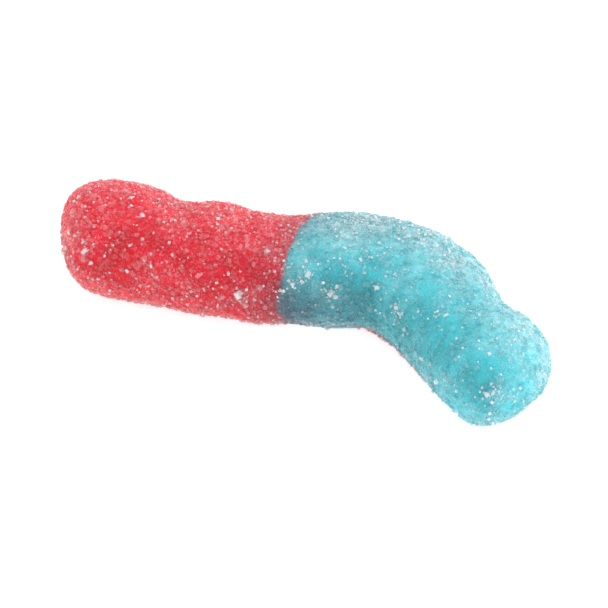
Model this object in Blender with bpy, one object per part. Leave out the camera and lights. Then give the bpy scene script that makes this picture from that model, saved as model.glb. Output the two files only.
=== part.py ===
"""A short, fat gummy worm in two colours, lying on its flat moulded back.

The body is a row of D-shaped rings along a curved centreline: a round top, a flat foot at z = 0 and blunt ends.
The coarsest of the sugar crystals that coat it are fused to its skin. Metres, +Z up. The red end lies at -X and
the turquoise end at +X, bent towards -Y. The origin is under the middle of the whole part.
"""
import math
import random

import bmesh
import bpy
from mathutils import Euler, Vector

MM = 0.001

# Body: size and fineness
LENGTH = 49.3 * MM
HEIGHT_TO_HALF_WIDTH = 1.6
RINGS = 52
SIDES = 36

# Centreline, seen from above: its first heading, then each turn's middle and span along it and its angle in
# degrees, below zero for a turn towards -Y
FIRST_HEADING = 3.0
TURNS = (
    (3.0 * MM, 9.0 * MM, -26.0),
    (9.0 * MM, 9.0 * MM, 11.0),
    (19.0 * MM, 10.0 * MM, 10.0),
    (32.0 * MM, 12.0 * MM, -62.0),
    (42.0 * MM, 8.0 * MM, 19.0),
)
CENTRELINE_STEPS = 600

# Half width at fractions of the length: lobes with faint waists between them
HALF_WIDTHS = (
    (0.00, 5.80 * MM),
    (0.08, 5.50 * MM),
    (0.15, 5.55 * MM),
    (0.22, 5.05 * MM),
    (0.29, 5.50 * MM),
    (0.36, 5.12 * MM),
    (0.43, 5.05 * MM),
    (0.53, 5.40 * MM),
    (0.62, 5.30 * MM),
    (0.72, 5.45 * MM),
    (0.81, 4.95 * MM),
    (0.90, 5.35 * MM),
    (1.00, 4.80 * MM),
)

# Ends: how far each is rounded, and how full the rounding is sideways, at the top and at the foot
RED_END_ROUNDING = 5.6 * MM
TURQUOISE_END_ROUNDING = 3.8 * MM
SIDE_FULLNESS = 2.5
TOP_FULLNESS = 2.1
FOOT_FULLNESS = 2.2

# Section: where it is widest, and how square it is above and below that height
WIDEST_AT = 0.42
SQUARENESS_ABOVE = 2.1
SQUARENESS_BELOW = 2.4
FOOT_CUT = 0.35 * MM

# Soft dents in the skin: place along the body, degrees up from its -Y side, width and depth
DENTS = (
    (9.5 * MM, 115.0, 3.0 * MM, 0.25 * MM),
    (41.5 * MM, 70.0, 3.6 * MM, 0.28 * MM),
)

# The joint between the colours, how far it leans along the body from the middle to each side, and how much
# further it sweeps at the back
JOINT_AT = 21.85 * MM
JOINT_LEAN = 1.2 * MM
JOINT_SWEEP = 1.6 * MM

# Sugar: the coarse crystals fused to the skin, largest first
CRYSTAL_SEED = 7
CRYSTAL_COUNT = 170
CRYSTAL_LARGEST = 0.78 * MM
CRYSTAL_SMALLEST = 0.45 * MM
CRYSTAL_SPACING = 1.55 * MM
CRYSTAL_TRIES = 9000
CRYSTAL_RISE = 0.02
CRYSTAL_BEVEL = 0.22
LOWEST_CRYSTAL = 0.9 * MM
CRYSTAL_ENDS_CLEAR = 0.5 * MM
CRYSTAL_ARC = (-25.0, 205.0)
NORMAL_STEP = 0.05 * MM
NORMAL_DEGREES = 0.5

# The middle of the part's box, measured from the centreline's start
MIDDLE = Vector((22.04 * MM, -8.42 * MM, 0.0))

RED = (0.80, 0.075, 0.085, 1.0)
TURQUOISE = (0.10, 0.47, 0.53, 1.0)
ROUGHNESS = 0.55


def smooth_step(x):
    """Go from 0 to 1 with level ends."""
    x = min(max(x, 0.0), 1.0)
    return x * x * (3.0 - 2.0 * x)


def heading_at(along):
    """Direction of the centreline in radians, at a distance along it."""
    degrees = FIRST_HEADING
    for middle, span, angle in TURNS:
        degrees += angle * smooth_step((along - middle) / span + 0.5)
    return math.radians(degrees)


def make_centreline():
    """Return the centreline's points, evenly spaced from end to end."""
    step = LENGTH / CENTRELINE_STEPS
    points = [-MIDDLE]
    for index in range(CENTRELINE_STEPS):
        heading = heading_at((index + 0.5) * step)
        points.append(points[-1] + Vector((math.cos(heading), math.sin(heading), 0.0)) * step)
    return points


def centre_at(centreline, along):
    """Return the centreline's point at a distance along it."""
    place = min(max(along / LENGTH, 0.0), 1.0) * CENTRELINE_STEPS
    index = min(int(place), CENTRELINE_STEPS - 1)
    return centreline[index].lerp(centreline[index + 1], place - index)


def half_width_at(along):
    """Half the body's width, eased from one listed place to the next."""
    place = along / LENGTH
    for (start, first), (end, second) in zip(HALF_WIDTHS, HALF_WIDTHS[1:]):
        if place <= end:
            return first + (second - first) * smooth_step((place - start) / (end - start))
    return HALF_WIDTHS[-1][1]


def end_factor(along, fullness):
    """How much of its full size the section keeps near an end, from 0 at the tip to 1."""
    from_end = min(along, LENGTH - along)
    rounding = RED_END_ROUNDING if along < LENGTH / 2 else TURQUOISE_END_ROUNDING
    inside = min(max(from_end / rounding, 0.0), 1.0)
    return (1.0 - (1.0 - inside) ** fullness) ** (1.0 / fullness)


def dent_at(along, degrees, half_width):
    """Depth of the soft dents at a place on the skin."""
    depth = 0.0
    for place, middle, width, deepest in DENTS:
        across = math.radians(degrees - middle) * half_width
        depth += deepest * math.exp(-((along - place) ** 2 + across ** 2) / (width / 2) ** 2)
    return depth


def skin_point(centreline, along, degrees):
    """A point of the skin: 0 degrees is the -Y side, 90 the top, 180 the +Y side."""
    centre = centre_at(centreline, along)
    heading = heading_at(along)
    outward = Vector((math.sin(heading), -math.cos(heading), 0.0))
    half_width = half_width_at(along)
    height = HEIGHT_TO_HALF_WIDTH * half_width
    widest = WIDEST_AT * height
    cosine = math.cos(math.radians(degrees))
    sine = math.sin(math.radians(degrees))
    squareness = SQUARENESS_ABOVE if sine > 0 else SQUARENESS_BELOW
    side = math.copysign(abs(cosine) ** (2.0 / squareness), cosine) * end_factor(along, SIDE_FULLNESS)
    rise = abs(sine) ** (2.0 / squareness)
    shrink = 1.0 - dent_at(along, degrees, half_width) / half_width
    if sine > 0:
        z = widest + (height - widest) * rise * end_factor(along, TOP_FULLNESS) * shrink
    else:
        z = widest - (widest + FOOT_CUT) * rise * end_factor(along, FOOT_FULLNESS)
    point = centre + outward * (half_width * side * shrink)
    point.z = max(z, 0.0)
    return point


def colour_at(along, degrees):
    """Which material a place on the skin has: 0 on the red side of the joint, 1 on the turquoise side."""
    towards_front = math.cos(math.radians(degrees))
    joint = JOINT_AT - JOINT_LEAN * towards_front + JOINT_SWEEP * max(-towards_front, 0.0) ** 1.5
    return 0 if along < joint else 1


def make_body(centreline):
    """Build the closed body from rings, with a fan of triangles at each tip."""
    mesh = bmesh.new()
    places = [LENGTH * (1.0 - math.cos(math.pi * index / RINGS)) / 2 for index in range(1, RINGS)]
    rings = []
    for along in places:
        ring = [mesh.verts.new(skin_point(centreline, along, 360.0 * side / SIDES)) for side in range(SIDES)]
        rings.append(ring)
    for index in range(len(rings) - 1):
        first, second = rings[index], rings[index + 1]
        middle = (places[index] + places[index + 1]) / 2
        for side in range(SIDES):
            after = (side + 1) % SIDES
            face = mesh.faces.new((first[side], first[after], second[after], second[side]))
            face.material_index = colour_at(middle, (side + 0.5) * 360.0 / SIDES)
    for ring, along in ((rings[0], 0.0), (rings[-1], LENGTH)):
        tip = mesh.verts.new(skin_point(centreline, along, 0.0))
        for side in range(SIDES):
            face = mesh.faces.new((tip, ring[side], ring[(side + 1) % SIDES]))
            face.material_index = colour_at(along, 0.0)
    bmesh.ops.recalc_face_normals(mesh, faces=mesh.faces)
    return mesh


def make_object(name, mesh, materials):
    """Turn a bmesh into an object in the scene."""
    data = bpy.data.meshes.new(name)
    mesh.to_mesh(data)
    mesh.free()
    for material in materials:
        data.materials.append(material)
    made = bpy.data.objects.new(name, data)
    bpy.context.scene.collection.objects.link(made)
    return made


def make_material(name, colour):
    """A plain gummy material."""
    material = bpy.data.materials.new(name)
    material.use_nodes = True
    shader = material.node_tree.nodes["Principled BSDF"]
    shader.inputs["Base Color"].default_value = colour
    shader.inputs["Roughness"].default_value = ROUGHNESS
    shader.inputs["Metallic"].default_value = 0.0
    material.diffuse_color = colour
    return material


def crystal_sites(centreline):
    """Places on the skin for the coarse crystals, spread evenly: point, outward normal, along, degrees."""
    rng = random.Random(CRYSTAL_SEED)
    sites = []
    for _ in range(CRYSTAL_TRIES):
        along = rng.uniform(CRYSTAL_ENDS_CLEAR, LENGTH - CRYSTAL_ENDS_CLEAR)
        degrees = rng.uniform(*CRYSTAL_ARC)
        point = skin_point(centreline, along, degrees)
        if point.z < LOWEST_CRYSTAL or len(sites) == CRYSTAL_COUNT:
            continue
        if any((point - site[0]).length < CRYSTAL_SPACING for site in sites):
            continue
        forward = skin_point(centreline, along + NORMAL_STEP, degrees) - point
        around = skin_point(centreline, along, degrees + NORMAL_DEGREES) - point
        sites.append((point, forward.cross(around).normalized(), along, degrees))
    return sites


def make_crystal(size, rng):
    """One crystal about the origin: a block with four bevelled edges."""
    mesh = bmesh.new()
    bmesh.ops.create_cube(mesh, size=1.0)
    upright = [edge for edge in mesh.edges if abs(edge.verts[0].co.z - edge.verts[1].co.z) > 0.5]
    bmesh.ops.bevel(mesh, geom=upright, offset=CRYSTAL_BEVEL, segments=1, affect="EDGES")
    stretch = (size, size * rng.uniform(0.65, 0.95), size * rng.uniform(0.7, 1.0))
    bmesh.ops.scale(mesh, vec=stretch, verts=mesh.verts)
    turn = Euler([rng.uniform(0.0, math.tau) for _ in range(3)]).to_matrix()
    bmesh.ops.rotate(mesh, matrix=turn, verts=mesh.verts)
    return mesh


def make_crystals(centreline, collection, materials):
    """Lay the crystals on the skin, largest first, each in the colour it lies on."""
    rng = random.Random(CRYSTAL_SEED + 1)
    sites = crystal_sites(centreline)
    for index, (point, normal, along, degrees) in enumerate(sites):
        size = CRYSTAL_LARGEST + (CRYSTAL_SMALLEST - CRYSTAL_LARGEST) * index / len(sites)
        mesh = make_crystal(size, rng)
        bmesh.ops.translate(mesh, vec=point + normal * size * CRYSTAL_RISE, verts=mesh.verts)
        for face in mesh.faces:
            face.material_index = colour_at(along, degrees)
        crystal = make_object(f"crystal_{index:03d}", mesh, materials)
        bpy.context.scene.collection.objects.unlink(crystal)
        collection.objects.link(crystal)


def fuse(body, collection):
    """Join the body and everything in the collection into one solid."""
    union = body.modifiers.new("Fuse", "BOOLEAN")
    union.operation = "UNION"
    union.operand_type = "COLLECTION"
    union.collection = collection
    union.solver = "EXACT"
    bpy.context.view_layer.update()
    evaluated = body.evaluated_get(bpy.context.evaluated_depsgraph_get())
    fused = bpy.data.meshes.new_from_object(evaluated)
    body.modifiers.remove(union)
    body.data = fused
    for piece in list(collection.objects):
        bpy.data.objects.remove(piece)
    bpy.data.collections.remove(collection)


def main():
    for old in list(bpy.data.objects):
        bpy.data.objects.remove(old)
    materials = (make_material("red_gummy", RED), make_material("turquoise_gummy", TURQUOISE))
    centreline = make_centreline()
    body = make_object("worm", make_body(centreline), materials)
    collection = bpy.data.collections.new("crystals")
    bpy.context.scene.collection.children.link(collection)
    make_crystals(centreline, collection, materials)
    fuse(body, collection)
    body.data.shade_smooth()
    body.data.set_sharp_from_angle(angle=math.radians(35.0))


main()
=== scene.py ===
import itertools
import math
import random
from typing import NamedTuple

import bpy
import numpy as np
from bpy.props import FloatProperty, FloatVectorProperty, IntProperty, PointerProperty
from bpy.types import Operator, Panel, PropertyGroup
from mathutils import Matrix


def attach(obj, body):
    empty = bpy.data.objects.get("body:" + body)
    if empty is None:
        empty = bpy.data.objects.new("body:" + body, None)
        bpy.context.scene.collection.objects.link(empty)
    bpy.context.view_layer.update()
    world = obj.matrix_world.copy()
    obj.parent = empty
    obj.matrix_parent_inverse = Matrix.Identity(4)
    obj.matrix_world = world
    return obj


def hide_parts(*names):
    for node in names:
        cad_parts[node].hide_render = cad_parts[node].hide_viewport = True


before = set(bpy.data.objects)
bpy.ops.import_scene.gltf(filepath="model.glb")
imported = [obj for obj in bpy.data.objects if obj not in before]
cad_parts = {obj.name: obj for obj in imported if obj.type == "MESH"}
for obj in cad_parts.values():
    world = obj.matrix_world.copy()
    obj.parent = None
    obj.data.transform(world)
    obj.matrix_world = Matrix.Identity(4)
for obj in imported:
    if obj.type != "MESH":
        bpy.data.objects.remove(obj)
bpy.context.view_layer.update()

bl_info = {
    "name": "Gummy worm",
    "version": (1, 0, 0),
    "blender": (4, 5, 0),
    "location": "View3D > Sidebar > Worm",
    "description": "Models a sugar-coated gummy worm in two colours and sets a plain studio around it",
    "category": "Add Mesh",
}

MM = 0.001
NODE = "worm"
BODY = "root"

# Centreline, seen from above: its first heading, then each turn's middle and span in mm and angle in degrees
FIRST_HEADING = 3.0
TURNS = (
    (3.0, 9.0, -26.0),
    (9.0, 9.0, 11.0),
    (19.0, 10.0, 10.0),
    (32.0, 12.0, -62.0),
    (42.0, 8.0, 19.0),
)
CENTRELINE_STEPS = 600
MIDDLE = (22.04 * MM, -8.42 * MM)

# Half width in mm at fractions of the length
HALF_WIDTHS = (
    (0.00, 5.80), (0.08, 5.50), (0.15, 5.55), (0.22, 5.05), (0.29, 5.50),
    (0.36, 5.12), (0.43, 5.05), (0.53, 5.40), (0.62, 5.30), (0.72, 5.45),
    (0.81, 4.95), (0.90, 5.35), (1.00, 4.80),
)

# How far each end is rounded, and how full the rounding is sideways and upwards
RED_END_ROUNDING = 5.6 * MM
TURQUOISE_END_ROUNDING = 3.8 * MM
SIDE_FULLNESS = 2.5
HEIGHT_FULLNESS = 2.15

# Section: where it is widest, and how square it is above and below that height
WIDEST_AT = 0.42
SQUARENESS_ABOVE = 2.1
SQUARENESS_BELOW = 2.4
FOOT_CUT = 0.35 * MM

# A place on the skin is given in mm along the body and degrees up from its -Y side. Soft dents: place, reach
# and depth in mm
DENTS = (
    (9.5, 115.0, 2.6, 0.25),
    (41.5, 70.0, 3.2, 0.18),
)

# Soft swellings near the foot and at the red end: place, reach and height in mm
SWELLINGS = (
    (2.2, -8.0, 3.2, 0.14),
    (5.0, -36.0, 4.0, 0.20),
    (13.0, -38.0, 3.6, 0.10),
    (19.0, -40.0, 4.2, 0.34),
    (24.4, -42.0, 4.2, 0.30),
    (30.5, -40.0, 3.2, 0.26),
    (34.5, -40.0, 3.4, 0.38),
    (39.0, -40.0, 3.2, 0.18),
    (46.6, -35.0, 3.4, 0.34),
)

# The skin: how far apart its broad and fine lumps lie, how often it is subdivided, and how its foot settles
LUMP_SPACING = 2.4 * MM
GRAIN_SPACING = 0.5 * MM
SUBDIVISIONS = 3
FOOT_GAP = 0.02 * MM
SETTLED_BELOW = 2.0 * MM

# The joint between the colours: place, lean to each side, return low on the -Y side, unevenness and softness
JOINT_AT = 21.85 * MM
JOINT_LEAN = 1.2 * MM
JOINT_SWEEP = 1.6 * MM
JOINT_SWEEP_POWER = 1.5
JOINT_RETURN = 0.7 * MM
JOINT_UNEVENNESS = 0.16 * MM
JOINT_WAVE = 0.8 * MM
JOINT_SEED = 11
JOINT_SOFTNESS = 0.22 * MM
LOW_SOFTENING = 3.0

# Zones of the paint, in metres along the body or degrees round it: an edge, and the span of the fade
FAR_UNDERSIDE = (-150.0, 60.0)
LOW_SIDE = (56.0, 56.0)
RETURN_SIDE = (15.0, 50.0)
# Where the underside of the turquoise is painted shaded, past the joint towards the bend
UNDERSIDE_START = (22.0 * MM, 1.0 * MM)
UNDERSIDE_END = (33.0 * MM, 6.0 * MM)
TOP_SIDE = (58.0, 50.0)
TOP_SLATE_END = (36.0 * MM, 9.0 * MM)
TAIL_SLATE_END = (48.0 * MM, 8.0 * MM)
# Where the low inner side of the bend is painted shaded
BEND_START = (25.0 * MM, 5.0 * MM)
BEND_END = (47.0 * MM, 9.0 * MM)
BEND_SIDE = (46.0, 36.0)
SEEP_START = (26.0 * MM, 4.0 * MM)
SEEP_END = (43.0 * MM, 3.0 * MM)
SEEP_TOP = (-18.0, 14.0)
SEEP_FOOT = (-75.0, 20.0)
# Where the top and the back are paler: partly thicker sugar, partly painted highlight
TOP_FROST_AND_HIGHLIGHT_SIDE = (55.0, 90.0)
BACK_FROST_AND_HIGHLIGHT_SIDE = (112.0, 30.0)
# Where the foot is painted pale: a painted rim of light along it
FOOT_RIM_LIGHT_SIDE = (-12.0, 20.0)
FOOT_RIM_LIGHT_START = (5.0 * MM, 8.0 * MM)
# Where the lower sides of the red and of the tail are painted shaded
RED_LOW_SHADE_SIDE = (42.0, 42.0)
TAIL_LOW_SHADE_SIDE = (48.0, 50.0)
TAIL_LOW_SHADE_START = (35.0 * MM, 5.0 * MM)

# Slate, where one colour shows through the other at the joint, with painted shade added on the low side and
# on the turquoise's underside, and the top of the turquoise greyed: amounts and reaches at the joint, and
# amounts elsewhere
SLATE = 0.35
# More on the low side: painted shade of the lower flank
LOW_SHADE_AT_JOINT = 0.65
SLATE_REACH = 0.7 * MM
# Longer reach on the low side, for the same painted shade
LOW_SHADE_REACH = 5.5 * MM
RED_SLATE = 0.28
# More on the red's low side near the joint: painted shade
RED_LOW_SHADE_AT_JOINT = 0.20
RED_SLATE_REACH = 2.4 * MM
# Painted shade on the underside of the turquoise
UNDERSIDE_SHADE = 0.48
# Greyer on the top of the turquoise, towards the joint and towards the tail
TOP_SLATE = 0.26
TAIL_SLATE = 0.09
SEEP = 0.85
SEEP_SLATE = 0.40

# Frost of fine sugar, with a painted highlight on the top and back and a painted rim of light at the foot:
# amounts everywhere and in its zones, and its unevenness as size, amount and seed
FROST = 0.20
FROST_MORE_TURQUOISE = 0.10
# Paler top of the turquoise and paler back: partly thicker sugar, partly painted highlight
TOP_FROST_AND_HIGHLIGHT = 0.20
BACK_FROST_AND_HIGHLIGHT = 0.08
BACK_FROST_AND_HIGHLIGHT_MORE_TURQUOISE = 0.24
# A painted rim of light along the foot, weaker at the red end
FOOT_RIM_LIGHT = 0.32
FOOT_RIM_LIGHT_AT_END = 0.3
FROST_UNEVENNESS = ((3.1 * MM, 0.22, 21), (1.2 * MM, 0.16, 22))

# Where the sugar lies thicker: place, reach in mm, and how much
FROST_PATCHES = (
    (0.8, 45.0, 3.0, 0.36), (4.4, 38.0, 1.8, 0.20), (4.6, 110.0, 3.0, 0.16),
    (8.3, 84.0, 1.1, 0.10), (10.0, 6.0, 2.4, 0.18), (10.7, 33.0, 1.3, 0.10),
    (12.8, 22.0, 1.6, 0.30), (15.6, 98.0, 2.4, 0.28), (18.4, 17.0, 1.8, 0.24),
    (26.0, 104.0, 2.4, 0.26), (27.2, 86.0, 2.4, 0.16), (28.4, 107.0, 2.4, 0.46),
    (32.6, 104.0, 2.8, 0.56), (34.2, 55.0, 2.2, 0.14), (35.9, 108.0, 2.0, 0.46),
    (38.1, 93.0, 2.6, 0.12), (40.3, 33.0, 1.2, 0.20), (45.8, 120.0, 3.4, 0.50),
    (48.3, 26.0, 2.0, 0.22),
)

# Where the sugar is thin and the gummy shows deep: place, reach in mm, and how much
DEEP_PATCHES = (
    (4.2, 12.0, 2.0, 0.35), (7.0, 22.0, 2.6, 0.75), (7.6, 50.0, 1.7, 0.50),
    (8.8, 64.0, 1.9, 0.75), (10.6, 54.0, 1.5, 0.50), (12.8, 43.0, 1.6, 0.60),
    (13.8, 69.0, 1.4, 0.35), (15.1, 19.0, 1.8, 0.50), (16.5, 43.0, 2.2, 0.70),
    (18.6, 44.0, 2.0, 0.55), (20.0, 30.0, 1.4, 0.35), (22.4, 10.0, 2.4, 0.60),
    (23.7, 60.0, 1.4, 0.36), (24.9, 36.0, 1.5, 0.50), (25.4, 50.0, 1.6, 0.26),
    (27.8, 34.0, 3.6, 0.40), (35.6, 31.0, 1.6, 0.40), (38.6, 40.0, 2.6, 0.50),
    (42.2, 42.0, 2.6, 0.60), (43.2, 72.0, 1.8, 0.40), (46.2, 36.0, 2.6, 0.60),
    (47.3, 12.0, 2.0, 0.35),
)
# Painted shade at the low inner side of the bend
BEND_SHADE = 0.9
# Deeper colour as painted shade on the underside of the turquoise
UNDERSIDE_SHADE_DEPTH = 0.40
# Painted shade on the lower side of the red
RED_LOW_SHADE = 0.70
# Painted shade on the lower side of the tail
TAIL_LOW_SHADE = 0.30
THINNING = 0.6
# Less frost in the painted shade of the bend, so that it shows darker
BEND_SHADE_THINNING = 0.28
PATCH_RADIUS = 5.0 * MM

# What the gummy's own colour is multiplied by where it is deep and where shade is painted, and in its soft
# blotches
DEEP_AND_SHADE_RED = (0.80, 0.48, 0.48)
DEEP_AND_SHADE_TURQUOISE = (0.70, 0.72, 0.73)
BLOTCH = (0.62, 0.50, 0.52)

# Gummy finish: sizes of its features, and how deep and in what colours light spreads inside it
BLOTCH_SIZE = 1.6 * MM
SPECKLE_SIZE = 0.11 * MM
SHEEN_SIZE = 0.4 * MM
DUST_SIZE = 0.16 * MM
DUST_HEIGHT = 0.05 * MM
GLOW_DEPTH = 1.5 * MM
RED_GLOW = (1.0, 0.16, 0.16)
TURQUOISE_GLOW = (0.22, 0.80, 0.90)

# A range of a noise or of the paint, and the range it is stretched to
BLOTCHES = (0.35, 0.65, 0.0, 0.35)
VEIL_IN_FROST = (0.15, 1.0, 0.0, 0.22)
VEIL_BY_COLOUR = (0.0, 1.0, 0.6, 1.3)
SPECKLE = (0.56, 0.68, 0.0, 0.8)
SPECKLE_IN_FROST = (0.0, 1.0, 0.15, 1.0)
ROUGHNESS = (0.3, 0.7, 0.35, 0.6)

# Where white grains lie in clumps: place and reach in mm
CLUMPS = (
    (3.4, 32.0, 0.6), (12.3, 70.0, 0.7), (17.6, 14.0, 0.6), (20.6, 22.0, 0.7),
    (21.4, 50.0, 0.5), (22.4, 34.0, 0.8), (23.3, 43.0, 0.6), (25.1, 22.0, 0.9),
    (27.2, 112.0, 1.5), (26.6, 46.0, 0.6), (28.5, 62.0, 0.6), (31.0, 34.0, 0.6),
    (31.8, 113.0, 1.4), (35.7, 112.0, 1.3), (37.0, 24.0, 1.3), (39.8, 60.0, 0.7),
    (48.0, 30.0, 1.0),
)

# Single large white grains: place and size in mm
LARGE_GRAINS = (
    (3.3, 30.0, 0.52), (3.6, 33.0, 0.38), (6.5, 97.0, 0.34), (8.2, 82.0, 0.40),
    (17.4, 15.0, 0.56), (17.7, 18.0, 0.46), (18.2, 22.0, 0.36), (19.6, 68.0, 0.36),
    (23.2, 43.0, 0.52), (25.1, 22.0, 0.50), (25.4, 20.0, 0.36), (31.0, 35.0, 0.42),
    (36.6, 29.0, 0.40), (40.5, 69.0, 0.38), (47.6, 30.0, 0.42), (47.9, 33.0, 0.34),
)

# The coarse crystals lie where the solid has them, so these repeat its draws
CRYSTAL_SEED = 7
CRYSTAL_COUNT = 170
CRYSTAL_LARGEST = 0.78 * MM
CRYSTAL_SMALLEST = 0.45 * MM
CRYSTAL_SPACING = 1.55 * MM
CRYSTAL_TRIES = 9000
LOWEST_CRYSTAL = 0.9 * MM
CRYSTAL_ENDS_CLEAR = 0.5 * MM
CRYSTAL_ARC = (-25.0, 205.0)
CRYSTAL_SHRINK = 0.85
CRYSTAL_SINK = -0.15
STEP_ALONG = 0.05 * MM
STEP_ROUND = 0.5

# Shapes of the grains: stretch each way, bevel of the upright edges, and how far out a corner is cut off
CUT_FACING = (1.0, 0.8, 0.9)
COARSE_SHAPES = (((1.0, 0.8, 0.9), 0.2, 0.28), ((1.0, 0.7, 0.75), 0.16, 0.30), ((0.9, 0.85, 0.7), 0.24, 0.0))
MEDIUM_SHAPES = (((1.0, 0.8, 0.9), 0.2, 0.0), ((1.0, 0.7, 0.7), 0.0, 0.26), ((0.9, 0.9, 0.7), 0.25, 0.0))
FINE_SHAPES = (((1.0, 0.8, 0.8), 0.0, 0.0), ((1.0, 0.7, 0.65), 0.0, 0.0), ((0.8, 0.9, 1.0), 0.0, 0.0))
UNEVENNESS = (0.75, 1.15)
COARSE_TILT = 50.0
FINE_TILT = 60.0


class Grains(NamedTuple):
    """How one kind of grain is drawn, with its limits and its height over the skin in shares of its size."""

    seed: int
    tries: int
    spread: float
    limits: tuple
    sink: tuple
    tilt: float
    shapes: tuple


MEDIUM = Grains(31, 16000, 0.22, (0.6, 1.5), (-0.18, 0.12), COARSE_TILT, MEDIUM_SHAPES)
FINE = Grains(32, 60000, 0.22, (0.55, 1.5), (-0.15, 0.25), FINE_TILT, FINE_SHAPES)
SMALL_WHITE = Grains(33, 24000, 0.30, (0.5, 1.9), (0.0, 0.45), FINE_TILT, FINE_SHAPES)
LARGE_SINK = 0.1
LARGE_WHITENESS = 0.85

# Sugar is left out on bare turquoise and on deep red, and white grains come with these chances
BARE_TURQUOISE = 0.58
FROST_FILLS = 0.50
BARE_RED = 0.50
WHITE_CHANCE = 0.07
WHITE_CHANCE_IN_FROST = 0.50
WHITE_CHANCE_POWER = 1.7
WHITE_LOSS_TURQUOISE = 0.50

# How much less white clear grains are on the turquoise, and the frost where that fades; opacity of grains
TINTING = 0.30
TINTED_FROST = (0.95, 0.4)
CLEAR_ALPHA = 0.30
WHITE_ALPHA = 0.65

# Stage: soft lights as name, place, size and power in watts, then floor, surround and camera
LIGHTS = (
    ("light_top", (0.0, 0.16, 0.42), 0.34, 0.6),
    ("light_right", (0.34, 0.02, 0.16), 0.20, 0.5),
)
WHITE = (1.0, 1.0, 1.0, 1.0)
FLOOR_SIZE = 3.0
FLOOR_GLOW = 0.65
SURROUND_STRENGTH = 0.95
CLEAR_LAYERS = 32
ELEVATION = 47.0
CAMERA_LENS = 200.0
CAMERA_DISTANCE = 0.300
CAMERA_TARGET = (0.0, -0.3 * MM, 3.6 * MM)
CAMERA_RANGE = (0.01, 10.0)

# Random values of the paint: how many, how a cell picks one, and what keeps the cells positive
NOISE_VALUES = 4096
NOISE_STRIDES = np.array([73, 1259, 2333])
NOISE_OFFSET = 1000.0
SEARCH_CHUNK = 20000


def length_property(name, description, millimetres):
    """A length that a user can change."""
    return FloatProperty(name=name, description=description, default=millimetres * MM, subtype="DISTANCE")


def colour_property(name, description, colour):
    """A colour that a user can change."""
    return FloatVectorProperty(name=name, description=description, default=colour, subtype="COLOR", size=3)


class WormSizes(PropertyGroup):
    """Sizes of the gummy body."""

    length: length_property("Length", "Length along the middle of the body", 49.3)
    height_to_half_width: FloatProperty(
        name="Height to half width", description="Height of the body for each unit of its half width",
        default=1.6,
    )
    sides: IntProperty(name="Sides", description="Sides of each ring before it is subdivided", default=32)
    bands: IntProperty(name="Bands", description="Rings along the body before it is subdivided", default=44)
    sugar_depth: length_property("Sugar depth", "How far the skin lies inside the sugared outline", 0.15)
    lumps: length_property("Lumps", "Height of the broad unevenness of the skin", 0.11)
    grain: length_property("Grain", "Height of the fine unevenness of the skin", 0.07)


class WormSugar(PropertyGroup):
    """Sizes and amounts of the sugar."""

    fine_count: IntProperty(name="Fine grains", description="Most fine grains", default=16500)
    fine_size: length_property("Fine size", "Middle size of a fine grain", 0.26)
    fine_spacing: length_property("Fine spacing", "Least distance between fine grains", 0.235)
    medium_count: IntProperty(name="Medium grains", description="Most medium grains", default=4200)
    medium_size: length_property("Medium size", "Middle size of a medium grain", 0.40)
    medium_spacing: length_property("Medium spacing", "Least distance between medium grains", 0.48)
    white_count: IntProperty(name="White grains", description="Most small white grains", default=3800)
    white_size: length_property("White size", "Middle size of a small white grain", 0.175)
    white_spacing: length_property("White spacing", "Least distance between white grains", 0.18)


class WormColours(PropertyGroup):
    """Colours of the gummy, the sugar and the floor."""

    red: colour_property("Red", "Colour of the red gummy", (0.82, 0.008, 0.040))
    turquoise: colour_property("Turquoise", "Colour of the turquoise gummy", (0.070, 0.60, 0.67))
    # Also the colour of the painted shade on the low side
    slate_and_shade: colour_property("Slate", "Colour where one gummy shows through the other", (0.065, 0.10, 0.15))
    sugar: colour_property("Sugar", "Colour of the white grains", (0.93, 0.93, 0.94))
    floor: colour_property("Floor", "Colour of the floor", (0.85, 0.85, 0.85))


def smooth_step(x):
    """Go from 0 to 1 with level ends."""
    x = np.clip(x, 0.0, 1.0)
    return x * x * (3.0 - 2.0 * x)


def rise(values, edge, span):
    """Go from 0 at an edge to 1 a span further on."""
    return smooth_step((values - edge) / span)


def fall(values, edge, span):
    """Go from 1 a span before an edge to 0 at the edge."""
    return smooth_step((edge - values) / span)


def heading_at(along):
    """Direction of the centreline in radians, at distances along it."""
    degrees = FIRST_HEADING + 0.0 * np.asarray(along)
    for middle, span, angle in TURNS:
        degrees = degrees + angle * smooth_step((along - middle * MM) / (span * MM) + 0.5)
    return np.radians(degrees)


def make_centreline(length):
    """The centreline's points, evenly spaced from end to end, and their distances along it."""
    step = length / CENTRELINE_STEPS
    middles = (np.arange(CENTRELINE_STEPS) + 0.5) * step
    heading = heading_at(middles)
    moves = np.stack([np.cos(heading), np.sin(heading)], axis=1) * step
    points = np.concatenate([[[0.0, 0.0]], np.cumsum(moves, axis=0)]) - np.array(MIDDLE)
    return points, np.arange(CENTRELINE_STEPS + 1) * step


def centre_at(centreline, along):
    """The centreline's points at distances along it."""
    points, places = centreline
    return np.stack([np.interp(along, places, points[:, axis]) for axis in (0, 1)], axis=-1)


def half_width_at(along, length):
    """Half the body's width, eased from one listed place to the next."""
    places = np.array([place for place, _ in HALF_WIDTHS])
    widths = np.array([width * MM for _, width in HALF_WIDTHS])
    place = np.clip(np.asarray(along) / length, 0.0, 1.0)
    index = np.clip(np.searchsorted(places, place) - 1, 0, len(places) - 2)
    eased = smooth_step((place - places[index]) / (places[index + 1] - places[index]))
    return widths[index] + (widths[index + 1] - widths[index]) * eased


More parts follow.
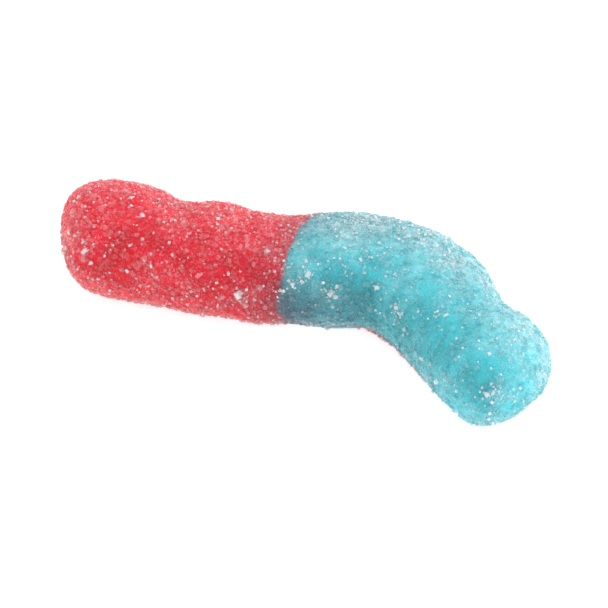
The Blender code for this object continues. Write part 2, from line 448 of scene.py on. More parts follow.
def end_factor(along, length, fullness):
    """How much of its full size the section keeps near an end, from 0 at the tip to 1."""
    from_end = np.minimum(along, length - along)
    rounding = np.where(along < length / 2, RED_END_ROUNDING, TURQUOISE_END_ROUNDING)
    inside = np.clip(from_end / rounding, 0.0, 1.0)
    return (1.0 - (1.0 - inside) ** fullness) ** (1.0 / fullness)


def set_mode(mode):
    """Go into edit mode or back to object mode."""
    bpy.ops.object.mode_set(mode=mode)


def deselect_all():
    """Leave nothing selected, in object mode."""
    if bpy.context.object is not None and bpy.context.object.mode != "OBJECT":
        set_mode("OBJECT")
    bpy.ops.object.select_all(action="DESELECT")


def add_object(name, data):
    """Put an object that has this data into the scene."""
    item = bpy.data.objects.new(name, data)
    bpy.context.scene.collection.objects.link(item)
    return item


def select_vertices(piece, chosen):
    """Select a piece's vertices by number, in object mode."""
    data = piece.data
    data.polygons.foreach_set("select", np.zeros(len(data.polygons), dtype=bool))
    data.edges.foreach_set("select", np.zeros(len(data.edges), dtype=bool))
    marks = np.zeros(len(data.vertices), dtype=bool)
    marks[chosen] = True
    data.vertices.foreach_set("select", marks)


def read_vertices(data):
    """A mesh's vertex places as an array."""
    places = np.empty(len(data.vertices) * 3)
    data.vertices.foreach_get("co", places)
    return places.reshape(-1, 3)


def finish_piece(piece):
    """Tell the frame how a finished piece rides."""
    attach(piece, BODY)


def locate(points, worm):
    """Where points of the skin lie: their distance along the body and degrees up from its -Y side."""
    line, places = make_centreline(worm.length)
    nearest = np.empty(len(points), dtype=int)
    for start in range(0, len(points), SEARCH_CHUNK):
        part = points[start:start + SEARCH_CHUNK, None, :2] - line[None]
        nearest[start:start + SEARCH_CHUNK] = (part ** 2).sum(axis=2).argmin(axis=1)
    along = places[nearest]
    heading = heading_at(along)
    offset = points[:, :2] - line[nearest]
    side = offset[:, 0] * np.sin(heading) - offset[:, 1] * np.cos(heading)
    ahead = offset[:, 0] * np.cos(heading) + offset[:, 1] * np.sin(heading)
    middle = WIDEST_AT * worm.height_to_half_width * half_width_at(along, worm.length)
    degrees = np.degrees(np.arctan2(points[:, 2] - middle, side))
    return along + ahead, degrees


def value_noise(points, size, seed):
    """Smooth random values from -1 to 1 that change over about one size."""
    rng = np.random.default_rng(seed)
    table = rng.uniform(-1.0, 1.0, NOISE_VALUES)
    place = points / size + NOISE_OFFSET
    base = np.floor(place).astype(int)
    eased = smooth_step(place - base)
    total = np.zeros(len(points))
    for corner in range(8):
        step = np.array([corner & 1, corner >> 1 & 1, corner >> 2 & 1])
        weight = np.where(step, eased, 1.0 - eased).prod(axis=1)
        total += weight * table[(base + step) @ NOISE_STRIDES % NOISE_VALUES]
    return total


def soft_patch(along, degrees, place, turn, reach):
    """How strong one soft round patch is at points of the skin; its place and reach are in mm."""
    sideways = np.radians((degrees - turn + 180.0) % 360.0 - 180.0) * PATCH_RADIUS
    distance = np.hypot(along - place * MM, sideways)
    return np.exp(-distance ** 2 / (0.5 * (reach * MM) ** 2))


def add_patches(patches, along, degrees):
    """The sum of soft round patches at points of the skin."""
    return sum(amount * soft_patch(along, degrees, *patch) for *patch, amount in patches)


def joint_place(points, degrees):
    """Where along the body the joint between the colours runs, at points round it."""
    turn = np.cos(np.radians(degrees))
    joint = JOINT_AT - JOINT_LEAN * turn + JOINT_SWEEP * np.clip(-turn, 0.0, 1.0) ** JOINT_SWEEP_POWER
    joint += JOINT_RETURN * fall(degrees, *RETURN_SIDE) * rise(degrees, *FAR_UNDERSIDE)
    return joint + JOINT_UNEVENNESS * value_noise(points, JOINT_WAVE, JOINT_SEED)


def paint_slate_and_shade(along, degrees, past, low, underside_shade, turquoise):
    """How much of each colour shows through the other, at points some way past the joint, with painted shade
    added on the low side and the underside, and the top of the turquoise greyed.
    """
    # More slate over a longer reach on the low side: painted shade of the lower flank
    reach = SLATE_REACH + LOW_SHADE_REACH * low
    slate_and_shade = turquoise * (SLATE + LOW_SHADE_AT_JOINT * low) * np.exp(-np.clip(past, 0.0, None) / reach)
    # Painted shade on the underside of the turquoise
    slate_and_shade = np.maximum(slate_and_shade, UNDERSIDE_SHADE * underside_shade * turquoise)
    # The top of the turquoise is greyed towards the joint and towards the tail
    top = TOP_SLATE * fall(along, *TOP_SLATE_END) + TAIL_SLATE * fall(along, *TAIL_SLATE_END)
    slate_and_shade += top * turquoise * rise(degrees, *TOP_SIDE)
    fading = np.exp(np.clip(past, None, 0.0) / RED_SLATE_REACH)
    # On the red, more on the low side near the joint: painted shade
    return slate_and_shade + (1.0 - turquoise) * (RED_SLATE + RED_LOW_SHADE_AT_JOINT * low) * fading


def paint_frost_and_highlight(points, along, degrees, turquoise, seep):
    """How thick the frost is at points, before it is thinned, with a painted highlight on the top and back
    and a painted rim of light at the foot added in.
    """
    frost_and_highlight = FROST + FROST_MORE_TURQUOISE * turquoise
    for size, amount, seed in FROST_UNEVENNESS:
        frost_and_highlight += amount * value_noise(points, size, seed)
    # Paler top and back: partly thicker sugar, partly painted highlight
    frost_and_highlight += TOP_FROST_AND_HIGHLIGHT * turquoise * rise(degrees, *TOP_FROST_AND_HIGHLIGHT_SIDE)
    frost_and_highlight += (BACK_FROST_AND_HIGHLIGHT + BACK_FROST_AND_HIGHLIGHT_MORE_TURQUOISE * turquoise) * rise(degrees, *BACK_FROST_AND_HIGHLIGHT_SIDE)
    # A painted rim of light along the foot, left off where the other colour seeps
    along_foot = FOOT_RIM_LIGHT_AT_END + (1.0 - FOOT_RIM_LIGHT_AT_END) * rise(along, *FOOT_RIM_LIGHT_START)
    frost_and_highlight += FOOT_RIM_LIGHT * fall(degrees, *FOOT_RIM_LIGHT_SIDE) * (1.0 - seep) * along_foot
    return frost_and_highlight + add_patches(FROST_PATCHES, along, degrees)


def paint_skin(points, worm):
    """The skin at points: how turquoise, how slate, how frosted and how deep in colour, each from 0 to 1,
    with painted shade carried in slate and depth and painted light in frost.
    """
    along, degrees = locate(points, worm)
    past = along - joint_place(points, degrees)
    not_far = rise(degrees, *FAR_UNDERSIDE)
    low = fall(degrees, *LOW_SIDE) * not_far
    # A band of painted shade on the low side of the turquoise past the joint
    underside_shade = low * rise(along, *UNDERSIDE_START) * fall(along, *UNDERSIDE_END)
    # Painted shade on the low inner side of the bend
    bend_shade = rise(along, *BEND_START) * fall(along, *BEND_END) * fall(degrees, *BEND_SIDE) * not_far
    seep = rise(along, *SEEP_START) * fall(along, *SEEP_END)
    seep = seep * fall(degrees, *SEEP_TOP) * rise(degrees, *SEEP_FOOT)
    turquoise = smooth_step(past / (JOINT_SOFTNESS * (1.0 + LOW_SOFTENING * low)) + 0.5)
    slate_and_shade = paint_slate_and_shade(along, degrees, past, low, underside_shade, turquoise)
    slate_and_shade = np.maximum(slate_and_shade, SEEP_SLATE * seep)
    turquoise = turquoise * (1.0 - SEEP * seep)
    frost_and_highlight = paint_frost_and_highlight(points, along, degrees, turquoise, seep)
    deep_and_shade = add_patches(DEEP_PATCHES, along, degrees)
    frost_and_highlight = np.clip(frost_and_highlight - THINNING * deep_and_shade - BEND_SHADE_THINNING * bend_shade, 0.0, 1.0)
    # Painted shade: darker at the inner bend and on the underside of the turquoise
    deep_and_shade += BEND_SHADE * bend_shade + UNDERSIDE_SHADE_DEPTH * underside_shade * turquoise
    # Painted shade: the lower sides of the red and of the tail are darker
    deep_and_shade += RED_LOW_SHADE * (1.0 - turquoise) * fall(degrees, *RED_LOW_SHADE_SIDE)
    deep_and_shade += TAIL_LOW_SHADE * turquoise * fall(degrees, *TAIL_LOW_SHADE_SIDE) * rise(along, *TAIL_LOW_SHADE_START)
    return turquoise, slate_and_shade, frost_and_highlight, np.clip(deep_and_shade, 0.0, 1.0)


def add_attribute(data, name, values):
    """Store one number for each vertex under a name."""
    layer = data.attributes.new(name, "FLOAT", "POINT")
    layer.data.foreach_set("value", np.asarray(values, dtype=np.float32))


class Nodes:
    """A short way to build a material's nodes."""

    def __init__(self, name):
        self.material = bpy.data.materials.new(name)
        self.material.use_nodes = True
        self.tree = self.material.node_tree
        self.shader = self.tree.nodes["Principled BSDF"]

    def add(self, kind, **values):
        """Add a node and set its properties."""
        node = self.tree.nodes.new(kind)
        for key, value in values.items():
            setattr(node, key, value)
        return node

    def fill(self, target, value):
        """Link a socket to an input, or set a value there; a colour gets full alpha."""
        if isinstance(value, bpy.types.NodeSocket):
            self.tree.links.new(value, target)
        elif isinstance(value, float):
            target.default_value = value
        else:
            target.default_value = (*value[:3], 1.0)

    def set_inputs(self, node, **values):
        """Fill a node's inputs, named with underscores for spaces."""
        for name, value in values.items():
            self.fill(node.inputs[name.replace("_", " ")], value)

    def attribute(self, name):
        """The value of one of the mesh's attributes."""
        return self.add("ShaderNodeAttribute", attribute_name=name).outputs["Fac"]

    def mix(self, factor, first, second, blend="MIX"):
        """Mix two colours."""
        node = self.add("ShaderNodeMix", data_type="RGBA", blend_type=blend)
        for socket, value in ((0, factor), (6, first), (7, second)):
            self.fill(node.inputs[socket], value)
        return node.outputs[2]

    def multiply(self, first, second):
        """Multiply two numbers."""
        node = self.add("ShaderNodeMath", operation="MULTIPLY")
        self.fill(node.inputs[0], first)
        self.fill(node.inputs[1], second)
        return node.outputs[0]

    def remap(self, value, low, high, new_low, new_high):
        """Stretch a number from one range to another, clamped."""
        node = self.add("ShaderNodeMapRange")
        self.set_inputs(node, Value=value, From_Min=low, From_Max=high, To_Min=new_low, To_Max=new_high)
        return node.outputs["Result"]

    def noise(self, size, detail=2.0):
        """Noise over the object's own coordinates, with features of about a size."""
        node = self.add("ShaderNodeTexNoise")
        coordinates = self.add("ShaderNodeTexCoord").outputs["Object"]
        self.set_inputs(node, Vector=coordinates, Scale=1.0 / size, Detail=detail)
        return node.outputs["Fac"]


def gummy_colour(made, colours, turquoise):
    """The gummy's colour: red or turquoise, slate where the two overlap, deep in places, and painted shade
    on the low side through slate and depth.
    """
    base = made.mix(turquoise, colours.red, colours.turquoise)
    base = made.mix(made.attribute("slate_and_shade"), base, colours.slate_and_shade)
    darker = made.mix(turquoise, DEEP_AND_SHADE_RED, DEEP_AND_SHADE_TURQUOISE)
    return made.mix(made.attribute("deep_and_shade"), base, darker, blend="MULTIPLY")


def gummy_finish(colours):
    """Soft translucent gummy: red and turquoise, with a fine dusting of broken sugar."""
    made = Nodes("gummy")
    turquoise = made.attribute("turquoise")
    frost_and_highlight = made.attribute("frost_and_highlight")
    blotches = made.remap(made.noise(BLOTCH_SIZE), *BLOTCHES)
    base = made.mix(blotches, gummy_colour(made, colours, turquoise), BLOTCH, blend="MULTIPLY")
    veil = made.multiply(made.remap(frost_and_highlight, *VEIL_IN_FROST), made.remap(turquoise, *VEIL_BY_COLOUR))
    base = made.mix(veil, base, colours.sugar)
    speckle = made.remap(made.noise(SPECKLE_SIZE, detail=1.0), *SPECKLE)
    dust = made.multiply(speckle, made.remap(frost_and_highlight, *SPECKLE_IN_FROST))
    bump = made.add("ShaderNodeBump")
    made.set_inputs(bump, Strength=0.4, Distance=DUST_HEIGHT, Height=made.noise(DUST_SIZE))
    made.set_inputs(
        made.shader, Base_Color=made.mix(dust, base, colours.sugar),
        Subsurface_Radius=made.mix(turquoise, RED_GLOW, TURQUOISE_GLOW), Subsurface_Weight=0.85,
        Subsurface_Scale=GLOW_DEPTH, Roughness=made.remap(made.noise(SHEEN_SIZE), *ROUGHNESS), IOR=1.42,
        Specular_IOR_Level=0.35, Sheen_Weight=0.6, Sheen_Roughness=0.3, Normal=bump.outputs["Normal"],
    )
    return made.material


def sugar_finish(name, colours, alpha):
    """Sugar crystals, clear or cloudy by their alpha, tinted by the gummy under them."""
    made = Nodes(name)
    base = gummy_colour(made, colours, made.attribute("turquoise"))
    base = made.mix(made.attribute("whiteness"), base, colours.sugar)
    made.set_inputs(made.shader, Base_Color=base, Roughness=0.12, IOR=1.7, Alpha=alpha)
    return made.material


class WORM_OT_body(Operator):
    """Model the gummy body: a D-shaped ring extruded along the bent centreline, with rounded ends"""

    bl_idname = "worm.body"
    bl_label = "Gummy body"

    def execute(self, context):
        sizes = context.scene.worm_sizes
        body = extrude_body(sizes)
        press_dents(body, sizes)
        roughen(body, sizes)
        colour_body(body, sizes)
        body.data.materials.append(gummy_finish(context.scene.worm_colours))
        finish_piece(body)
        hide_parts(NODE)
        return {"FINISHED"}


def measure(centreline, along, worm):
    """The centreline's point and heading, and the body's half width and height, at a distance along it."""
    x, y = centre_at(centreline, along)
    half_width = float(half_width_at(along, worm.length))
    return x, y, float(heading_at(along)), half_width, worm.height_to_half_width * half_width


def skin_point(centreline, along, angle, worm):
    """A point of the smooth skin, at an angle round it: 0 is the -Y side, a quarter turn the top."""
    x, y, heading, half_width, height = measure(centreline, along, worm)
    widest = WIDEST_AT * height
    cosine, sine = math.cos(angle), math.sin(angle)
    squareness = SQUARENESS_ABOVE if sine > 0 else SQUARENESS_BELOW
    side = math.copysign(abs(cosine) ** (2.0 / squareness), cosine) * half_width
    side *= float(end_factor(along, worm.length, SIDE_FULLNESS))
    rise_by = math.copysign(abs(sine) ** (2.0 / squareness), sine)
    rise_by *= height - widest if sine > 0 else widest + FOOT_CUT
    rise_by *= float(end_factor(along, worm.length, HEIGHT_FULLNESS))
    return np.array([x + math.sin(heading) * side, y - math.cos(heading) * side, max(widest + rise_by, 0.0)])


def extrude_body(sizes):
    """Add a ring, extrude it station by station along the centreline, close both tips and subdivide."""
    centreline = make_centreline(sizes.length)
    stations = sizes.length * (1.0 - np.cos(np.pi * np.arange(1, sizes.bands) / sizes.bands)) / 2
    deselect_all()
    bpy.ops.mesh.primitive_circle_add(vertices=sizes.sides)
    body = bpy.context.object
    body.name = "worm_body"
    for index, vertex in enumerate(body.data.vertices):
        vertex.co = skin_point(centreline, stations[0], math.tau * index / sizes.sides, sizes)
    set_mode("EDIT")
    bpy.ops.mesh.select_all(action="SELECT")
    for first, second in zip(stations, stations[1:]):
        extrude_to(first, second, sizes, centreline)
    set_mode("OBJECT")
    last = len(body.data.vertices) - sizes.sides
    close_tip(body, np.arange(last, last + sizes.sides), sizes.length, sizes, centreline)
    close_tip(body, np.arange(sizes.sides), 0.0, sizes, centreline)
    set_mode("EDIT")
    bpy.ops.mesh.select_all(action="SELECT")
    bpy.ops.mesh.normals_make_consistent(inside=False)
    set_mode("OBJECT")
    number_by_place(body)
    smooth = body.modifiers.new("Smooth", "SUBSURF")
    smooth.levels = SUBDIVISIONS
    bpy.ops.object.modifier_apply(modifier=smooth.name)
    inset = body.modifiers.new("Sugar depth", "DISPLACE")
    inset.strength = -sizes.sugar_depth
    inset.mid_level = 0.0
    bpy.ops.object.modifier_apply(modifier=inset.name)
    bpy.ops.object.shade_smooth()
    return body


def number_by_place(piece):
    """Number vertices and faces by their places, because edit mode numbers new ones differently each run."""
    data = piece.data
    places = read_vertices(data)
    order = np.lexsort(np.round(places, 6).T)
    rank = np.argsort(order)
    faces = []
    for face in data.polygons:
        corners = rank[list(face.vertices)].tolist()
        first = corners.index(min(corners))
        faces.append(corners[first:] + corners[:first])
    data.clear_geometry()
    data.from_pydata(places[order], [], sorted(faces))
    data.update()


def extrude_to(first, second, sizes, centreline):
    """Extrude the selected ring from one station to the next, turn it and fit its width and height."""
    start, end = centre_at(centreline, first), centre_at(centreline, second)
    move = (end[0] - start[0], end[1] - start[1], 0.0)
    bpy.ops.mesh.extrude_region_move(TRANSFORM_OT_translate={"value": move})
    turn = float(heading_at(second) - heading_at(first))
    centre = (end[0], end[1], 0.0)
    bpy.ops.transform.rotate(value=-turn, orient_axis="Z", center_override=centre)
    growth = float(half_width_at(second, sizes.length) / half_width_at(first, sizes.length))
    wider, taller = (
        float(end_factor(second, sizes.length, fullness) / end_factor(first, sizes.length, fullness))
        for fullness in (SIDE_FULLNESS, HEIGHT_FULLNESS)
    )
    bpy.ops.transform.resize(value=(growth * wider, growth * wider, growth), center_override=centre)
    widest = WIDEST_AT * sizes.height_to_half_width * float(half_width_at(second, sizes.length))
    bpy.ops.transform.resize(value=(1.0, 1.0, taller), center_override=(end[0], end[1], widest))


def close_tip(body, ring, along, sizes, centreline):
    """Extrude an end ring, merge the copy to one point and put that on the tip."""
    x, y, _, _, height = measure(centreline, along, sizes)
    select_vertices(body, ring)
    set_mode("EDIT")
    bpy.ops.mesh.select_mode(type="VERT")
    bpy.ops.mesh.extrude_region_move(TRANSFORM_OT_translate={"value": (0.0, 0.0, 0.0)})
    bpy.ops.mesh.merge(type="CENTER")
    set_mode("OBJECT")
    for vertex in body.data.vertices:
        if vertex.select:
            vertex.co = (x, y, WIDEST_AT * height)


def press_dents(body, sizes):
    """Press each soft dent into the skin and pull each swelling out of it, with proportional editing."""
    centreline = make_centreline(sizes.length)
    swellings = [(along, degrees, reach, -height) for along, degrees, reach, height in SWELLINGS]
    for along, degrees, reach, depth in (*DENTS, *swellings):
        x, y, heading, half_width, height = measure(centreline, along * MM, sizes)
        side = math.cos(math.radians(degrees)) * half_width
        upward = math.sin(math.radians(degrees)) * (1.0 - WIDEST_AT) * height
        outward = np.array([math.sin(heading) * side, -math.cos(heading) * side, upward])
        target = np.array([x, y, WIDEST_AT * height]) + outward
        places = read_vertices(body.data)
        select_vertices(body, [int(((places - target) ** 2).sum(axis=1).argmin())])
        set_mode("EDIT")
        bpy.ops.mesh.select_mode(type="VERT")
        bpy.ops.transform.translate(
            value=tuple(-outward / np.linalg.norm(outward) * depth * MM), use_proportional_edit=True,
            proportional_edit_falloff="SMOOTH", proportional_size=reach * MM,
        )
        set_mode("OBJECT")


def roughen(body, sizes):
    """Raise broad lumps and a fine grain on the skin, and keep its foot flat."""
    layers = (("lumps", sizes.lumps, LUMP_SPACING), ("grain", sizes.grain, GRAIN_SPACING))
    for name, height, spacing in layers:
        clouds = bpy.data.textures.new(name, "CLOUDS")
        clouds.noise_scale = spacing
        clouds.noise_depth = 1
        raised = body.modifiers.new(name, "DISPLACE")
        raised.texture = clouds
        raised.strength = height
        bpy.ops.object.modifier_apply(modifier=raised.name)
    places = read_vertices(body.data)
    settled = (sizes.sugar_depth - FOOT_GAP) * fall(places[:, 2], SETTLED_BELOW, SETTLED_BELOW)
    places[:, 2] = np.maximum(places[:, 2] - settled, FOOT_GAP)
    body.data.vertices.foreach_set("co", places.ravel())
    body.data.update()


def colour_body(body, sizes):
    """Store on the body where it is turquoise, slate, frosted and deep, with the painted shade and painted
    light these carry.
    """
    painted = paint_skin(read_vertices(body.data), sizes)
    for name, values in zip(("turquoise", "slate_and_shade", "frost_and_highlight", "deep_and_shade"), painted):
        add_attribute(body.data, name, values)


def model_crystal(stretch, bevel, cut):
    """Model a crystal a unit across, a block with bevels and a corner cut off: its places and faces."""
    deselect_all()
    bpy.ops.mesh.primitive_cube_add(size=1.0)
    crystal = bpy.context.object
    if bevel:
        select_vertices(crystal, [])
        for edge in crystal.data.edges:
            ends = [crystal.data.vertices[index].co for index in edge.vertices]
            edge.select = abs(ends[0].z - ends[1].z) > 0.5
    set_mode("EDIT")
    if bevel:
        bpy.ops.mesh.select_mode(type="EDGE")
        bpy.ops.mesh.bevel(offset=bevel, segments=1)
    if cut:
        bpy.ops.mesh.select_all(action="SELECT")
        bpy.ops.mesh.bisect(plane_co=(cut, cut, cut), plane_no=CUT_FACING, use_fill=True, clear_outer=True)
    bpy.ops.mesh.select_all(action="SELECT")
    bpy.ops.transform.resize(value=stretch)
    bpy.ops.mesh.normals_make_consistent(inside=False)
    set_mode("OBJECT")
    number_by_place(crystal)
    data = crystal.data
    data.calc_loop_triangles()
    places = read_vertices(data)
    faces = np.array([triangle.vertices[:] for triangle in data.loop_triangles])
    bpy.data.objects.remove(crystal)
    bpy.data.meshes.remove(data)
    return places, faces


def random_turns(rng, count, tilt):
    """Rotation matrices: a spin about the up axis and then a tilt of up to some degrees any way."""
    spin = rng.uniform(0.0, math.tau, count)
    lean = np.radians(rng.uniform(0.0, tilt, count))
    around = rng.uniform(0.0, math.tau, count)
    about_z = np.zeros((count, 3, 3))
    about_z[:, 0, 0] = about_z[:, 1, 1] = np.cos(spin)
    about_z[:, 1, 0] = np.sin(spin)
    about_z[:, 0, 1] = -about_z[:, 1, 0]
    about_z[:, 2, 2] = 1.0
    cross = np.zeros((count, 3, 3))
    cross[:, 0, 2] = np.sin(around)
    cross[:, 1, 2] = -np.cos(around)
    cross[:, 2, :2] = -cross[:, :2, 2]
    tip = np.eye(3) + np.sin(lean)[:, None, None] * cross
    tip += (1.0 - np.cos(lean))[:, None, None] * (cross @ cross)
    return tip @ about_z


def upright_frames(normals):
    """Matrices whose third column is each normal."""
    helper = np.where(np.abs(normals[:, 2:3]) < 0.9, [[0.0, 0.0, 1.0]], [[1.0, 0.0, 0.0]])
    first = np.cross(helper, normals)
    first /= np.linalg.norm(first, axis=1)[:, None]
    second = np.cross(normals, first)
    return np.stack([first, second, normals], axis=2)


def draw_points(body, rng, tries):
    """Random points spread evenly over the body's skin: their places and normals."""
    data = body.data
    data.calc_loop_triangles()
    corners = np.empty(len(data.loop_triangles) * 3, dtype=np.int32)
    data.loop_triangles.foreach_get("vertices", corners)
    places = read_vertices(data)[corners.reshape(-1, 3)]
    cross = np.cross(places[:, 1] - places[:, 0], places[:, 2] - places[:, 0])
    area = np.linalg.norm(cross, axis=1)
    chosen = rng.choice(len(area), tries, p=area / area.sum())
    first, second = rng.random((2, tries))
    over = first + second > 1.0
    first, second = np.where(over, 1.0 - first, first), np.where(over, 1.0 - second, second)
    triangle = places[chosen]
    points = triangle[:, 0] + first[:, None] * (triangle[:, 1] - triangle[:, 0])
    points += second[:, None] * (triangle[:, 2] - triangle[:, 0])
    return points, cross[chosen] / area[chosen][:, None]


def space_out(points, normals, count, spacing):
    """The first so many points that lie no nearer to each other than a spacing, and their normals."""
    cells = {}
    picked = []
    for number, (point, cell) in enumerate(zip(points, np.floor(points / spacing).astype(int))):
        if len(picked) == count:
            break
        around = itertools.product(*((index - 1, index, index + 1) for index in cell))
        near = (other for neighbour in around for other in cells.get(neighbour, ()))
        if any(((point - other) ** 2).sum() < spacing * spacing for other in near):
            continue
        cells.setdefault(tuple(cell), []).append(point)
        picked.append(number)
    return points[picked], normals[picked]


def thin_out(points, normals, worm, rng):
    """Leave out grains on the turquoise where the frost with its painted light is thin, and on the red where
    it is deep and on its painted-shaded low side.
    """
    turquoise, _, frost_and_highlight, deep_and_shade = paint_skin(points, worm)
    bare = turquoise * (BARE_TURQUOISE - FROST_FILLS * frost_and_highlight) + (1.0 - turquoise) * BARE_RED * deep_and_shade
    kept = rng.random(len(points)) > bare
    return points[kept], normals[kept]


def draw_sizes(kind, count, middle, rng):
    """Sizes spread round a middle one, and how far over the skin each grain's middle is."""
    sizes = middle * np.clip(rng.lognormal(0.0, kind.spread, count), *kind.limits)
    return sizes, rng.uniform(*kind.sink, count)


def lay_grains(name, shapes, points, normals, sizes, sink, tilt, whiteness, rng, worm, tinting=TINTING):
    """Join one grain for each point into a single piece, sunk in the skin, with its colours stored on it."""
    count = len(points)
    turns = upright_frames(normals) @ random_turns(rng, count, tilt)
    kinds = rng.integers(0, len(shapes), count)
    uneven = rng.uniform(*UNEVENNESS, (count, 3))
    turquoise, slate_and_shade, frost_and_highlight, deep_and_shade = paint_skin(points, worm)
    white = whiteness(frost_and_highlight, rng) * (1.0 - tinting * turquoise * fall(frost_and_highlight, *TINTED_FROST))
    paint = np.stack([turquoise, slate_and_shade, deep_and_shade, white], axis=1)
    all_places, all_faces, all_paint = [], [], []
    start = 0
    for kind, shape in enumerate(shapes):
        places, faces = model_crystal(*shape)
        mine = np.flatnonzero(kinds == kind)
        grain = places[None] * uneven[mine, None] * sizes[mine, None, None]
        grain = np.einsum("nij,nvj->nvi", turns[mine], grain)
        centre = points[mine] + normals[mine] * (sizes[mine] * sink[mine])[:, None]
        all_places.append((grain + centre[:, None]).reshape(-1, 3))
        steps = start + np.arange(len(mine))[:, None, None] * len(places)
        all_faces.append((faces[None] + steps).reshape(-1, 3))
        all_paint.append(np.repeat(paint[mine], len(places), axis=0))
        start += len(mine) * len(places)
    places = np.concatenate(all_places)
    places[:, 2] = np.maximum(places[:, 2], 0.0)
    data = bpy.data.meshes.new(name)
    data.from_pydata(places, [], np.concatenate(all_faces).tolist())
    for attribute, values in zip(("turquoise", "slate_and_shade", "deep_and_shade", "whiteness"), np.concatenate(all_paint).T):
        add_attribute(data, attribute, values)
    return add_object(name, data)


def finish_sugar(grains, name, alpha):
    """Give grains their sugar material, made when first asked for, and tell the frame about them."""
    colours = bpy.context.scene.worm_colours
    grains.data.materials.append(bpy.data.materials.get(name) or sugar_finish(name, colours, alpha))
    finish_piece(grains)


def coarse_whiteness(frost_and_highlight, rng):
    """Mostly clear crystals, and a few cloudy ones."""
    clearest, spread, power = 0.12, 0.60, 3
    return clearest + spread * rng.random(len(frost_and_highlight)) ** power


def medium_whiteness(frost_and_highlight, rng):
    """Cloudier grains where the frost, with its painted light, is thick, and a few anywhere."""
    clearest, more_in_frost, spread, power = 0.15, 0.75, 0.25, 4
    in_frost = more_in_frost * frost_and_highlight * rng.random(len(frost_and_highlight))
    return np.clip(clearest + in_frost + spread * rng.random(len(frost_and_highlight)) ** power, 0.0, 1.0)


def fine_whiteness(frost_and_highlight, rng):
    """Mostly clear grains, with more cloudy ones where the frost, with its painted light, is thick."""
    clearest, spread, more_in_frost, power = 0.06, 0.20, 0.85, 2.2
    return np.clip(clearest + (spread + more_in_frost * frost_and_highlight) * rng.random(len(frost_and_highlight)) ** power, 0.0, 1.0)


def white_whiteness(frost_and_highlight, rng):
    """Cloudy to white grains, with the single large ones last."""
    clearest, spread = 0.40, 0.60
    large = np.arange(len(frost_and_highlight)) >= len(frost_and_highlight) - len(LARGE_GRAINS)
    return np.where(large, LARGE_WHITENESS, clearest + spread * rng.random(len(frost_and_highlight)))


def white_chance(points, worm):
    """How likely a white grain lies at points: more in frost, with its painted light, and in clumps, less on
    the turquoise.
    """
    turquoise, _, frost_and_highlight, _ = paint_skin(points, worm)
    chance = WHITE_CHANCE + WHITE_CHANCE_IN_FROST * frost_and_highlight ** WHITE_CHANCE_POWER
    chance *= 1.0 - WHITE_LOSS_TURQUOISE * turquoise
    along, degrees = locate(points, worm)
    return chance + sum(soft_patch(along, degrees, *clump) for clump in CLUMPS)


class WORM_OT_coarse_sugar(Operator):
    """Lay the coarsest crystals, where the solid has them"""

    bl_idname = "worm.coarse_sugar"
    bl_label = "Coarse sugar"

    def execute(self, context):
        worm = context.scene.worm_sizes
        points, normals = draw_crystals(worm)
        sizes = CRYSTAL_SHRINK * np.linspace(CRYSTAL_LARGEST, CRYSTAL_SMALLEST, len(points))
        sink = np.full(len(points), CRYSTAL_SINK)
        rng = np.random.default_rng(CRYSTAL_SEED)
        crystals = lay_grains(
            "sugar_coarse", COARSE_SHAPES, points, normals, sizes, sink, COARSE_TILT, coarse_whiteness, rng,
            worm,
        )
        finish_sugar(crystals, "clear_sugar", CLEAR_ALPHA)
        return {"FINISHED"}


def draw_crystals(worm):
    """The places of the coarse crystals and their normals, by the solid's own draws."""
    centreline = make_centreline(worm.length)
    rng = random.Random(CRYSTAL_SEED)
    points, normals = [], []
    for _ in range(CRYSTAL_TRIES):
        along = rng.uniform(CRYSTAL_ENDS_CLEAR, worm.length - CRYSTAL_ENDS_CLEAR)
        degrees = rng.uniform(*CRYSTAL_ARC)
        point = skin_point(centreline, along, math.radians(degrees), worm)
        if point[2] < LOWEST_CRYSTAL or len(points) == CRYSTAL_COUNT:
            continue
        if points and (((np.array(points) - point) ** 2).sum(axis=1) < CRYSTAL_SPACING ** 2).any():
            continue
        forward = skin_point(centreline, along + STEP_ALONG, math.radians(degrees), worm) - point
        around = skin_point(centreline, along, math.radians(degrees + STEP_ROUND), worm) - point
        normal = np.cross(forward, around)
        points.append(point)
        normals.append(normal / np.linalg.norm(normal))
    return np.array(points), np.array(normals)


def lay_clear_sugar(name, kind, whiteness):
    """Lay one kind of clear grain over the whole skin, thinner where little sugar lies."""
    worm, sugar = bpy.context.scene.worm_sizes, bpy.context.scene.worm_sugar
    count, size, spacing = (getattr(sugar, f"{name}_{value}") for value in ("count", "size", "spacing"))
    rng = np.random.default_rng(kind.seed)
    points, normals = draw_points(bpy.data.objects["worm_body"], rng, kind.tries)
    points, normals = space_out(points, normals, count, spacing)
    points, normals = thin_out(points, normals, worm, rng)
    sizes, sink = draw_sizes(kind, len(points), size, rng)
    grains = lay_grains(
        f"sugar_{name}", kind.shapes, points, normals, sizes, sink, kind.tilt, whiteness, rng, worm,
    )
    finish_sugar(grains, "clear_sugar", CLEAR_ALPHA)


class WORM_OT_medium_sugar(Operator):
    """Lay the medium grains, spread over the whole skin"""

    bl_idname = "worm.medium_sugar"
    bl_label = "Medium sugar"

    def execute(self, context):
        lay_clear_sugar("medium", MEDIUM, medium_whiteness)
        return {"FINISHED"}


class WORM_OT_fine_sugar(Operator):
    """Lay the fine grains between the larger ones"""

    bl_idname = "worm.fine_sugar"
    bl_label = "Fine sugar"

    def execute(self, context):
        lay_clear_sugar("fine", FINE, fine_whiteness)
        return {"FINISHED"}


